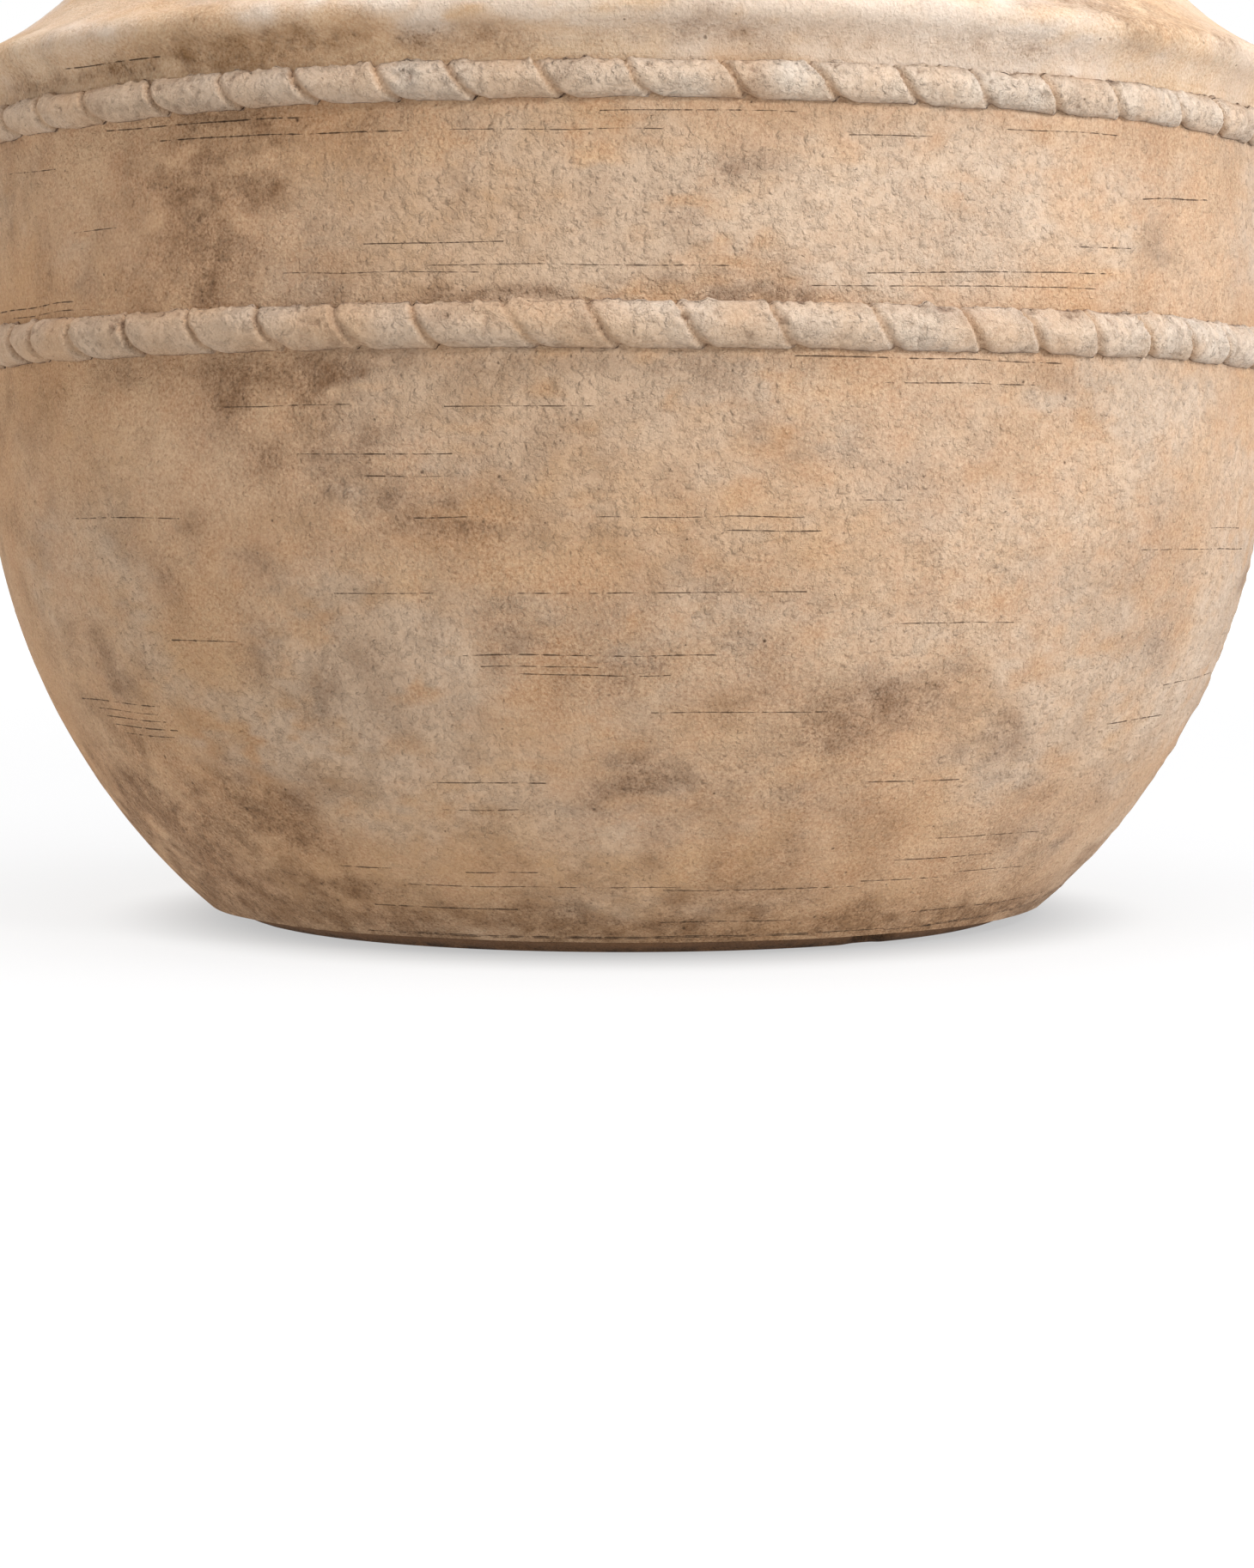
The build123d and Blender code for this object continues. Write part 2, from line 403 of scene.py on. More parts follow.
# Bowl rings: three wide strips of clay set on the slab and on one another with lap joints, scraped
# round by hand to one bowl and brushed with lime slip. Their stains, scratches and lumps of slip are
# placed as they are on the front, and scattered on the rest of the way round.
wall = 18.0
scarf_angle = 30.0
lap = wall * np.tan(np.radians(scarf_angle))
bowl_centre = (0.0, 225.0)
bowl_radius = 291.3
strip_width = 87.0
bowl_strip = np.degrees(strip_width / bowl_radius)
seam_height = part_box("bowl_ring_lower")[0].z / MM
foot_latitude = np.degrees(np.arcsin((seam_height - bowl_centre[1]) / bowl_radius))
belly_lean = 1.4
lower_band_height = 253.5
row_step = 1.6
inner_step = 6.0
arc_points = 120
splash_height = 60.0
furrow_depth = 0.5
dice = np.random.default_rng(1207)

# Angles behind, where spots have their middles and scratches start, and how far a scratch goes
spot_angles = (72, 288)
scratch_starts = (70, 278)
scratch_lengths = (4, 20)
all_round = 2000
# Slip, stain and rust on the front: angle, height, half width, half height, strength
bowl_slip = [
    (-11, 200, 75, 26, 0.5), (16, 214, 70, 20, 0.25), (-30, 165, 40, 17, 0.45), (-21, 141, 36, 16, 0.65),
    (-33, 88, 34, 14, 0.9), (-30, 82, 40, 16, 0.6), (-10, 84, 60, 14, 0.3), (12, 22, 50, 8, 0.35),
    (-47, 150, 28, 36, 0.65), (-45, 112, 34, 16, 0.3), (-23, 112, 34, 14, 0.6), (-25, 60, 46, 11, 0.35),
    (12, 186, 60, 24, 0.25), (32, 172, 70, 45, 0.15), (0, 140, 70, 90, 0.35), (6, 60, 80, 22, 0.2),
    (48, 120, 50, 40, 0.3), (34, 112, 40, 16, 0.3), (-20, 60, 50, 12, 0.35), (6, 24, 60, 8, 0.3),
    (5, 140, 50, 14, 0.3), (-16, 99, 30, 12, 0.3), (60, 205, 60, 30, 0.3), (-17, 75, 24, 10, 0.3),
    (38, 80, 34, 16, 0.3), (48, 160, 150, 100, 0.25), (45, 100, 90, 40, 0.3), (78, 180, 60, 80, 0.3),
    (-25, 122, 34, 16, 0.5), (-38, 97, 24, 14, 0.5), (-60, 165, 26, 40, 0.4), (-4, 232, 70, 12, 0.9),
    (45, 232, 50, 12, 0.8), (-36, 95, 34, 16, 0.3), (-24, 118, 40, 18, 0.3), (45, 222, 40, 14, 0.4),
    (-6, 224, 50, 14, 0.7), (-23, 108, 30, 12, 0.7), (-34, 82, 30, 10, 0.7),
]
bowl_stain_and_shade = [
    (-36, 168, 28, 15, 0.55), (-11, 180, 26, 11, 0.65), (-36, 66, 26, 14, 0.85), (-57, 54, 40, 20, 0.7),
    (-68, 42, 40, 22, 0.8), (-54, 18, 60, 13, 0.9), (-44, 55, 36, 22, 0.75), (34, 82, 30, 14, 0.3),
    (-36, 24, 30, 10, 0.4), (-50, 28, 34, 14, 0.6), (-66, 212, 40, 20, 0.4), (1, 80, 26, 10, 0.6),
    (22, 114, 32, 15, 0.55), (-19, 196, 30, 18, 0.4), (-26, 208, 30, 13, 0.35), (-2, 65, 20, 8, 0.45),
    (-54, 108, 34, 20, 0.45), (48, 58, 40, 18, 0.35), (-27, 115, 38, 17, 0.15), (-9, 135, 18, 11, 0.6),
    (-3, 118, 30, 9, 0.4), (-46, 182, 18, 15, 0.45), (-38, 236, 60, 8, 0.35), (0, 238, 120, 5, 0.35),
    (12, 205, 26, 10, 0.3), (-20, 25, 90, 10, 0.2), (20, 22, 90, 8, 0.15), (42, 11, 60, 6, 0.7),
    (66, 13, 30, 4, 0.8), (54, 128, 20, 14, 0.35), (26, 98, 70, 20, 0.3), (-58, 66, 30, 18, 0.5),
    # The spot all round at 9 mm, first on the next line, is painted shade low on the bowl, where it turns
    # under to the foot
    (0, 9, all_round, 9, 1.0), (-28, 232, 40, 12, 0.45), (-23, 232, 24, 10, 0.7), (-23, 224, 30, 14, 0.7),
    (24, 150, 30, 12, 0.25), (23, 195, 24, 12, 0.25),
]
bowl_rust = [
    (-2, 165, 36, 16, 0.6), (29, 56, 26, 10, 0.65), (11, 104, 30, 16, 0.55), (-30, 178, 26, 10, 0.55),
    (-27, 75, 14, 8, 0.7), (-48, 205, 24, 24, 0.5), (-15, 44, 70, 14, 0.4), (33, 105, 16, 10, 0.4),
    (-20, 225, 50, 12, 0.4), (4, 40, 60, 12, 0.35), (58, 190, 30, 30, 0.3), (-8, 92, 26, 10, 0.35),
    (-14, 16, 120, 24, 1.0), (32, 12, 90, 14, 0.7),
]
# Scratches on the front: first and last angle, height at the first, rise to the last
bowl_scores = [
    (-26, -13, 204.7, 0.0), (-20.6, -13, 196.4, -0.2), (-52, -38, 180.7, -0.2), (-17, -11, 180.2, 0.0),
    (-2.5, 8, 180.1, 0.2), (7.8, 14, 180.6, 0.0), (7.6, 15.5, 175.0, 0.2), (-24, -15, 151.2, 0.0),
    (-8.5, 14.5, 151.4, 0.2), (-14.5, 8, 127.0, 0.2), (-12, -2, 122.5, 0.0), (-9, 4, 119.5, -0.3),
    (-61, -46.5, 104.0, -0.8), (-58, -47, 100.2, -0.5), (-57, -46, 97.0, -0.4), (-56, -45, 93.6, -0.5),
    (-55, -46, 90.2, -0.2), (-18, -7, 75.4, 0.3), (-17.5, -9.5, 64.2, 0.4), (33, 50, 50.0, -1.0),
    (28, 43, 41.0, -0.4), (26, 37, 32.0, -0.3), (38, 52, 33.5, -0.6), (4, 26, 30.2, -0.4),
    (47.5, 70, 167.6, 0.0), (59, 67, 176.6, 0.0), (58, 76, 110.5, 2.5), (50, 62, 95.0, 2.0),
    (18, 22.5, 187.0, 0.0), (22.7, 33, 75.2, -0.4), (12.7, 36.5, 241.9, -0.8), (-14, -2, 222.5, 0.0),
    (-33, -20, 224.0, -0.2), (20, 34, 232.0, 0.4), (-25, 6, 31.2, 0.2), (-32, -25, 38.0, 0.0),
    (-17, -9, 37.6, 0.0), (36, 63, 16.0, 0.5), (4, 20, 15.5, 0.0), (-30, -12, 21.0, 0.3),
    (24, 42, 8.0, 0.3), (40, 63, 8.4, 2.8), (61, 84, 11.2, 9.0), (42, 64, 9.2, 2.8), (-34, 26, 8.2, 0.0),
    (-28, 34, 8.8, 0.0), (2, 18, 104.5, 0.0), (22, 34, 139.0, 0.4), (-42, -34, 131.0, 0.0),
]


def arc(centre, radius, start, end):
    """Points on an arc of a circle about a centre, from one angle to another: the centre plus the radius
    times the angle's cosine and sine."""
    turn = np.radians(np.linspace(start, end, arc_points))
    return np.stack([centre[0] + radius * np.cos(turn), centre[1] + radius * np.sin(turn)], axis=1)


def scattered(count, low, high, sizes, strengths):
    """Random spots in the form of the lists above, on the part of the wall that isn't the front."""
    angle = dice.uniform(*spot_angles, count)
    half_width = dice.uniform(*sizes, count)
    half_height = half_width * dice.uniform(0.35, 0.7, count)
    height = dice.uniform(low, high, count)
    strength = dice.uniform(*strengths, count)
    return list(zip(angle, height, half_width, half_height, strength))


def scratched(count, low, high):
    """Random scratches in the form of the list above, on the part of the wall that isn't the front."""
    start = dice.uniform(*scratch_starts, count)
    end = start + dice.uniform(*scratch_lengths, count)
    height = dice.uniform(low, high, count)
    rise = dice.normal(0, 0.5, count)
    return list(zip(start, end, height, rise))


def patches(points, spots):
    """Strength from 0 to 1 of soft spots: each is a bell curve over the distances round and up the wall
    from its middle, a slow noise bends those distances so that no spot is an oval, and a finer one, drawn
    out along the wall, thickens and thins it."""
    angle = angles(points)
    radius = np.hypot(points[..., 0], points[..., 1])
    sideways = 0.5 * cloud(points, 26, 3.3) + 0.25 * cloud(points, 9, 7.7)
    upwards = 0.5 * cloud(points, 22, 5.1) + 0.25 * cloud(points, 8, 1.9)
    total = np.zeros(angle.shape)
    for middle, height, half_width, half_height, strength in spots:
        turn = np.radians((angle - middle + 180) % 360 - 180)
        across = turn * radius / half_width + sideways
        up = (points[..., 2] - height) / half_height + upwards
        total += strength * np.exp(-(across ** 2) - up ** 2)
    streaky = points * (0.5, 0.5, 1)
    uneven = 1 + 0.8 * cloud(streaky, 12, 4.7) + 0.7 * cloud(streaky, 4, 8.1)
    return np.clip(total * uneven, 0, 1)


def score_lines(points, lines):
    """Height in mm above the nearest scratch, divided by that scratch's width, in three sets, and unscored
    away from them. A scratch goes to the set whose lines are furthest from it, so that the finish can draw
    each from its own distances. Three widths follow one another in turn."""
    reach = 2.4
    widths = (1.1, 0.75, 0.95)
    angle = angles(points)
    waver = 0.5 * cloud(points, 24, 2.2)
    sets = np.full(points.shape, unscored)
    drawn = ([], [], [])
    for number, (start, end, height, rise) in enumerate(lines):
        room = [min([abs(height - other) for other in heights], default=np.inf) for heights in drawn]
        choice = room.index(max(room))
        drawn[choice].append(height)
        along = ((angle - start) % 360) / (end - start)
        above = points[..., 2] - height - rise * along + waver
        near = (along < 1) & (abs(above) < reach)
        layer = sets[..., choice]
        layer[near] = above[near] / widths[number % len(widths)]
    return sets


def clay_ring(name, outside, inside, slip, stain, rust, scores, lump_size=0.9):
    """A ring of the wall between two joints: its outlines are carried round the axis, and each point then
    moves square to them. The outside moves by the slow waver of hand work, faint scraping and lumps of
    slip, and the inside by the furrows that fingers leave. Painted light and shade: the lit side, to the
    right, is paler with slip, and the shaded side is rustier and spotted with more stain. Stain also
    gathers near the ground."""
    outer = turned(outside, ring_columns)
    inner = turned(inside, ring_columns)
    # Painted light and shade: paler with slip to the right, where the light falls, and rustier and more
    # stained to the left, in the shade
    pale_lit_side = np.sin(np.radians(angles(outer)))
    shaded_side = 0.5 - 0.5 * pale_lit_side
    near_ground = np.exp(-outer[..., 2] / splash_height)
    spotted = (0.1 + 0.35 * shaded_side + 0.3 * near_ground) * cloud(outer, 13, 5.3)
    slip_and_light_laid = 0.12 + 0.12 * pale_lit_side + 0.35 * cloud(outer, 55, 4.4) + patches(outer, slip)
    stain_and_shade_laid = 0.08 + 0.3 * cloud(outer, 38, 6.6) + spotted + patches(outer, stain)
    rust_and_shade_laid = 0.5 * shaded_side + 0.5 * cloud(outer, 60, 8.8) + patches(outer, rust)
    wash = np.clip(np.stack([slip_and_light_laid, stain_and_shade_laid, rust_and_shade_laid], axis=-1), 0, 1)
    inner_wash = np.broadcast_to((0.0, 0.25, 0.2), inner.shape)

    scraping = 0.1 * cloud(outer * (1, 1, 9), 70)
    waver = 0.45 * cloud(outer, 130) + 0.3 * cloud(outer, 48, 1.5) + scraping
    lumps = np.clip(cloud(outer, 6.5, 2.7) + 0.7 * cloud(outer, 3.4, 9.1) - 0.2, 0, 0.8)
    outer = outer + outward(outside, ring_columns) * (waver + lump_size * lumps * wash[..., 0])[..., None]
    furrows = 0.9 * cloud(inner * (0.2, 0.2, 1), 11) + 0.6 * cloud(inner, 60)
    inner = inner + outward(inside, ring_columns) * (furrows - furrow_depth)[..., None]
    score = np.concatenate([score_lines(outer, scores), np.full(inner.shape, unscored)])
    return clay_piece(name, np.concatenate([outer, inner]), np.concatenate([wash, inner_wash]), score)


def belly_radius(height, sphere_radius=bowl_radius):
    """Radius of the belly's straight side, which leans out a little and is tangent to the bowl: the bowl's
    radius over the lean's cosine, plus the height over the bowl's centre times the lean's tangent."""
    lean = np.radians(belly_lean)
    return sphere_radius / np.cos(lean) + (np.asarray(height) - bowl_centre[1]) * np.tan(lean)


def belly_line(low, high, sphere_radius=bowl_radius):
    """Two points on the belly's straight side, at two heights."""
    return [(belly_radius(low, sphere_radius), low), (belly_radius(high, sphere_radius), high)]


bowl_slip += scattered(22, low=20, high=235, sizes=(30, 80), strengths=(0.3, 0.8))
bowl_stain_and_shade += scattered(30, low=10, high=235, sizes=(16, 45), strengths=(0.3, 0.8))
bowl_rust += scattered(20, low=20, high=235, sizes=(18, 45), strengths=(0.3, 0.65))
bowl_scores += scratched(48, low=15, high=238)
cavity_radius = bowl_radius - wall
lap_turn = np.degrees(lap / cavity_radius)
belly_start = bowl_centre[1] - bowl_radius * np.sin(np.radians(belly_lean))
bowl_joints = foot_latitude + bowl_strip * np.arange(3)
inner_joints = np.append(
    np.degrees(np.arcsin((slab_top.z - bowl_centre[1]) / cavity_radius)), bowl_joints[1:] + lap_turn
)
bowl_outlines = {
    ("first_ring", "bowl_ring_lower"): (
        [arc(bowl_centre, bowl_radius, bowl_joints[0], bowl_joints[1])],
        [arc(bowl_centre, cavity_radius, inner_joints[1], inner_joints[0])],
    ),
    ("second_ring", "bowl_ring_middle"): (
        [arc(bowl_centre, bowl_radius, bowl_joints[1], bowl_joints[2])],
        [arc(bowl_centre, cavity_radius, inner_joints[2], inner_joints[1])],
    ),
    ("third_ring", "bowl_ring_upper"): (
        [
            arc(bowl_centre, bowl_radius, bowl_joints[2], -belly_lean),
            belly_line(belly_start, lower_band_height),
        ],
        [
            belly_line(lower_band_height + lap, belly_start, cavity_radius),
            arc(bowl_centre, cavity_radius, -belly_lean, inner_joints[2]),
        ],
    ),
}
# Lime-washed fired clay: tan body under thin pale slip, brown in the hollows with dirt and painted
# shade, with dark scored lines
washed_clay = fired_clay(
    "lime_washed_fired_clay",
    shade="#B18764",
    light="#D6B491",
    slip="#D3BCA5",
    stain="#7F5C3F",
    rust="#BA8D5E",
    crack="#453121",
    lump_height=1.7,
    crumb_height=1.2,
)
for (name, node), (outside, inside) in bowl_outlines.items():
    ring = clay_ring(
        name,
        spaced(row_step, *outside),
        spaced(inner_step, *inside),
        bowl_slip,
        bowl_stain_and_shade,
        bowl_rust,
        bowl_scores,
    )
    ring.data.materials.append(washed_clay)
    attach(ring, "root")
    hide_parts(node)


# Belly ring: the nearly upright strip between the two rope bands, of the same clay, lapped on the
# bowl behind the lower band. Slip was dabbed on thickly here and dried in lumps, with a brown
# weather stain to the left and lines scored by the scraper near both bands.
upper_band_height = 345.5
belly_slip = [
    (-4, 267, 80, 6, 0.8), (-5, 298, 80, 28, 0.8), (25, 304, 78, 30, 0.3), (-2, 300, 60, 36, 0.35),
    (-50, 288, 40, 20, 0.35), (46, 300, 50, 30, 0.35), (12, 280, 50, 12, 0.5), (-24, 282, 40, 12, 0.3),
    (-18, 312, 60, 20, 0.35), (76, 308, 70, 50, 0.8), (-72, 318, 40, 26, 0.5), (24, 320, 60, 20, 0.3),
    (28, 285, 120, 18, 0.4), (-60, 316, 30, 20, 0.4), (74, 316, 40, 20, 0.3),
]
belly_stain = [
    (-36, 300, 36, 34, 1.0), (-34, 300, 22, 34, 0.3), (-24, 330, 50, 12, 0.4), (9, 315, 18, 10, 0.5),
    (-50, 272, 30, 9, 0.4), (-31, 282, 20, 14, 0.6), (9, 265.5, 36, 3.5, 0.9), (-9, 265.5, 50, 3, 0.8),
    (3, 292, 12, 7, 0.3), (48, 292, 22, 14, 0.3), (-34, 316, 26, 14, 0.4),
]
belly_rust = [
    (-8, 301, 26, 14, 0.5), (-20, 292, 44, 20, 0.5), (51, 286, 26, 30, 0.4), (-24, 316, 34, 14, 0.55),
    (-58, 300, 30, 30, 0.3), (20, 290, 20, 10, 0.35), (-2, 325, 30, 8, 0.4),
]
belly_scores = [
    (-39, -16, 329.1, -2.3), (-14, 3, 326.8, -0.6), (16.6, 24, 325.4, 0.8), (45, 55, 308.0, 3.5),
    (-27, -10.8, 274.7, -1.6), (-15, 8, 276.0, -0.4), (18.4, 41, 273.8, 3.8), (14, 40, 268.4, 3.0),
    (37, 44, 287.0, 1.2), (-66, -50, 268.2, 0.2), (-62, -48, 264.8, 0.2), (-50, -44, 296.0, 0.3),
    (-20, -9, 284.5, 0.0), (30, 42, 331.0, 1.2), (-2, 13, 333.0, 0.4), (-45, -24, 335.2, -1.4),
    (-62, -52, 325.0, -2.0),
]
belly_slip += scattered(12, low=265, high=335, sizes=(30, 80), strengths=(0.4, 0.8))
belly_stain += scattered(14, low=265, high=335, sizes=(16, 45), strengths=(0.3, 0.7))
belly_rust += scattered(10, low=265, high=335, sizes=(18, 45), strengths=(0.3, 0.6))
belly_scores += scratched(24, low=266, high=334)
belly = clay_ring(
    "belly",
    spaced(row_step, belly_line(lower_band_height, upper_band_height)),
    spaced(inner_step, belly_line(upper_band_height + lap, lower_band_height + lap, cavity_radius)),
    belly_slip,
    belly_stain,
    belly_rust,
    belly_scores,
)
belly.data.materials.append(washed_clay)
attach(belly, "root")
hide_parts("belly_ring")


# Shoulder ring: the clay strip over the upper band, drawn in with a wet rib to a cove, a rounded
# ledge and a hollow shoulder. It is lapped on the belly behind the upper band. The rib left it
# smoother than the bowl, and rain has washed the ledge pale and left brown in the cove.
cove_height = 355.0
cove_radius = 15.0
cove_turn = 50.0
nose_radius = 7.0
shoulder_pitch = 24.4
shoulder_radius = 150.0
shoulder_strip = 76.0
rib_step = 1.8
rib_lump_size = 0.4
shoulder_slip = [
    (0, 377, 110, 16, 1.0), (0, 386, 150, 14, 0.6), (20, 378, 50, 12, 0.5), (26, 361, 100, 9, 1.0),
    (17, 361, 50, 9, 0.4), (-12, 376, 40, 8, 0.8), (12, 376, 30, 8, 0.7), (-45, 374, 30, 8, 0.3),
    (57, 374, 30, 10, 0.4),
]
shoulder_stain = [
    (-33, 361, 34, 8, 1.0), (-23, 361, 36, 7, 0.9), (-13, 361, 30, 5, 0.4), (-46, 357, 50, 4, 0.6),
    (33, 360, 40, 4, 0.45), (-62, 358, 60, 6, 0.4), (48, 388, 70, 16, 0.5), (42, 384, 120, 12, 0.3),
    (-1, 361, 60, 6, 0.6),
]
shoulder_rust = [
    (-30, 363, 60, 6, 0.7), (34, 361, 50, 6, 0.5), (12, 360, 60, 5, 0.3), (60, 366, 40, 8, 0.4),
    (48, 384, 60, 18, 0.3),
]
shoulder_scores = [(-50, -38, 362.0, -0.8)]
shoulder_slip += scattered(10, low=365, high=540, sizes=(40, 110), strengths=(0.3, 0.7))
shoulder_stain += scattered(12, low=355, high=540, sizes=(16, 45), strengths=(0.3, 0.7))
shoulder_rust += scattered(10, low=355, high=540, sizes=(18, 45), strengths=(0.3, 0.6))
shoulder_scores += scratched(14, low=357, high=520)


def heading(angle):
    """Unit step of (radius, height) at an angle in degrees above level: its cosine and its sine."""
    return np.array([np.cos(np.radians(angle)), np.sin(np.radians(angle))])


# The outline turns right through the cove, left round the nose and right again up the shoulder
cove_start = np.array(belly_line(cove_height, cove_height)[0])
cove_centre = cove_start + cove_radius * heading(-belly_lean)
cove_end = cove_centre + cove_radius * heading(180 - belly_lean - cove_turn)
nose_centre = cove_end + nose_radius * heading(180 - belly_lean - cove_turn)
nose_end_angle = 90 - shoulder_pitch
shoulder_centre = nose_centre + (nose_radius + shoulder_radius) * heading(nose_end_angle)
shoulder_start = 180 + nose_end_angle
neck_joint = shoulder_start - np.degrees(shoulder_strip / shoulder_radius)
throat_radius = shoulder_radius + wall
throat_lap = np.degrees(lap / throat_radius)
shoulder_outside = spaced(
    rib_step,
    belly_line(upper_band_height, cove_height),
    arc(cove_centre, cove_radius, 180 - belly_lean, 180 - belly_lean - cove_turn),
    arc(nose_centre, nose_radius, -belly_lean - cove_turn, nose_end_angle),
    arc(shoulder_centre, shoulder_radius, shoulder_start, neck_joint),
)

# Inside, the shoulder's hollow meets the belly in a corner, which a curve rounds off to both sides
corner_height = 369.0
corner_reach = 8.0
rounding_points = 12
corner = np.array(belly_line(corner_height, corner_height, cavity_radius)[0])
corner_angle = 180 + np.degrees(np.arctan2(shoulder_centre[1] - corner[1], shoulder_centre[0] - corner[0]))
rounding_start = corner_angle - np.degrees(corner_reach / throat_radius)
over = np.linspace(0, 1, rounding_points)[:, None]
rounding_from = shoulder_centre + throat_radius * heading(rounding_start)
rounding_to = corner - (0, corner_reach)
rounding = (1 - over) ** 2 * rounding_from + 2 * over * (1 - over) * corner + over ** 2 * rounding_to
shoulder_inside = spaced(
    inner_step,
    arc(shoulder_centre, throat_radius, neck_joint - throat_lap, rounding_start),
    rounding,
    belly_line(corner_height - corner_reach, upper_band_height + lap, cavity_radius),
)
shoulder = clay_ring(
    "shoulder",
    shoulder_outside,
    shoulder_inside,
    shoulder_slip,
    shoulder_stain,
    shoulder_rust,
    shoulder_scores,
    rib_lump_size,
)
# Ribbed fired clay: the same body drawn smooth with a wet rib, with an even coat of near-white slip
ribbed_clay = fired_clay(
    "ribbed_fired_clay",
    shade="#C29D7A",
    light="#DBC1A2",
    slip="#E3D6C8",
    stain="#86623F",
    rust="#B48A5E",
    crack="#453121",
    lump_height=0.8,
    crumb_height=0.4,
    brush=1.4,
)
shoulder.data.materials.append(ribbed_clay)
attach(shoulder, "root")
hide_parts("shoulder_ring")


# Neck ring: the last wide strip, which carries the shoulder's hollow up to the throat and flares a
# little under the rim. It is the same ribbed and slipped clay, lapped on the shoulder.
neck_flare = 11.5
rim_joint = 180 - neck_flare
neck_step = 2.2
neck_joint_inside = neck_joint - throat_lap
rim_joint_inside = rim_joint - throat_lap
neck = clay_ring(
    "neck",
    spaced(neck_step, arc(shoulder_centre, shoulder_radius, neck_joint, rim_joint)),
    spaced(inner_step, arc(shoulder_centre, throat_radius, rim_joint_inside, neck_joint_inside)),
    shoulder_slip,
    shoulder_stain,
    shoulder_rust,
    shoulder_scores,
    rib_lump_size,
)
neck.data.materials.append(ribbed_clay)
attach(neck, "root")
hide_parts("neck_ring")


# Rim coil: one thick coil of clay, rolled over outwards by hand and pressed on the neck's lap joint.
# Its crown is paler, and it is browner under the roll.
rim_top = cad_box[1].z / MM
rim_flat = 7.0
rim_lip_radius = 6.0
rim_step = 1.6
rim_foot = shoulder_centre + shoulder_radius * heading(rim_joint)
roll_radius = (rim_top - rim_foot[1]) / 2
roll_centre = rim_foot + (rim_flat, roll_radius)
lip_centre_height = rim_top - rim_lip_radius
lip_reach = throat_radius - rim_lip_radius
lip_turn = np.degrees(np.arcsin((lip_centre_height - shoulder_centre[1]) / lip_reach))
lip_centre = shoulder_centre + lip_reach * heading(180 - lip_turn)
rim_seat = [shoulder_centre + throat_radius * heading(rim_joint_inside), rim_foot]
rim_low = rim_top - 30
rim_slip = [(0, rim_top, all_round, 10, 0.35)]
rim_slip += scattered(8, low=rim_low, high=rim_top, sizes=(40, 90), strengths=(0.2, 0.6))
rim_stain = [(0, rim_foot[1], all_round, 8, 0.6)]
rim_stain += scattered(8, low=rim_low, high=rim_top, sizes=(12, 30), strengths=(0.3, 0.6))
rim = clay_ring(
    "rim",
    spaced(
        rim_step,
        [rim_foot, rim_foot + (rim_flat, 0)],
        arc(roll_centre, roll_radius, -90, 90),
        arc(lip_centre, rim_lip_radius, 90, 180 - lip_turn),
        arc(shoulder_centre, throat_radius, 180 - lip_turn, rim_joint_inside),
    ),
    spaced(inner_step, rim_seat)[1:-1],
    rim_slip,
    rim_stain,
    shoulder_rust,
    shoulder_scores,
    rib_lump_size,
)
rim.data.materials.append(ribbed_clay)
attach(rim, "root")
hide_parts("rim_coil")


# Rope bands: two coils of finer clay pressed on over the joints above and below the belly, half round,
# then pressed across with a slanted stick so that they look like twisted rope. Each press is steep on
# its left bank and sweeps out to the right, and no two are quite alike.
band_columns = 1920
band_rows = 44
press_total = 54
press_lean = 13.5
press_depth = 1.9
left_bank = 1.3
right_bank = 4.6
sunk_turn = 7.0
lip_share = 0.16
lip_offset = 2.6
lip_half_width = 1.2
edge_dirt_shade_turn = 24.0
edge_dirt_shade_waver = 14.0
edge_dirt_shade_fade = 16.0
crumb_fade = 12.0
upper_crack_turn = 21.0
lower_line_turn = 10.0
crack_reach = 3.0
# Angles of the presses that face the front, listed one by one
lower_presses = [
    -58.9, -55.0, -48.6, -41.7, -34.4, -27.9, -21.2, -15.0, -7.7, -1.6, 5.0, 11.8, 19.6, 27.1, 32.8, 38.9,
    44.9, 50.8, 56.9,
]
upper_presses = [
    -52.8, -45.9, -38.2, -30.9, -24.4, -17.7, -12.0, -5.5, 0.9, 8.1, 14.9, 21.3, 27.5, 34.0, 40.7, 48.5,
    54.8,
]
# Rubbed cream clay: a paler, finer body than the wall, rubbed on its crest, brown in its presses with dirt
# and painted shade
rubbed_clay = fired_clay(
    "rubbed_cream_clay",
    shade="#BD9B7C",
    light="#D4B698",
    slip="#D8C9B8",
    stain="#775740",
    rust="#B08861",
    crack="#3E2B1D",
    lump_height=2.0,
    crumb_height=1.3,
)


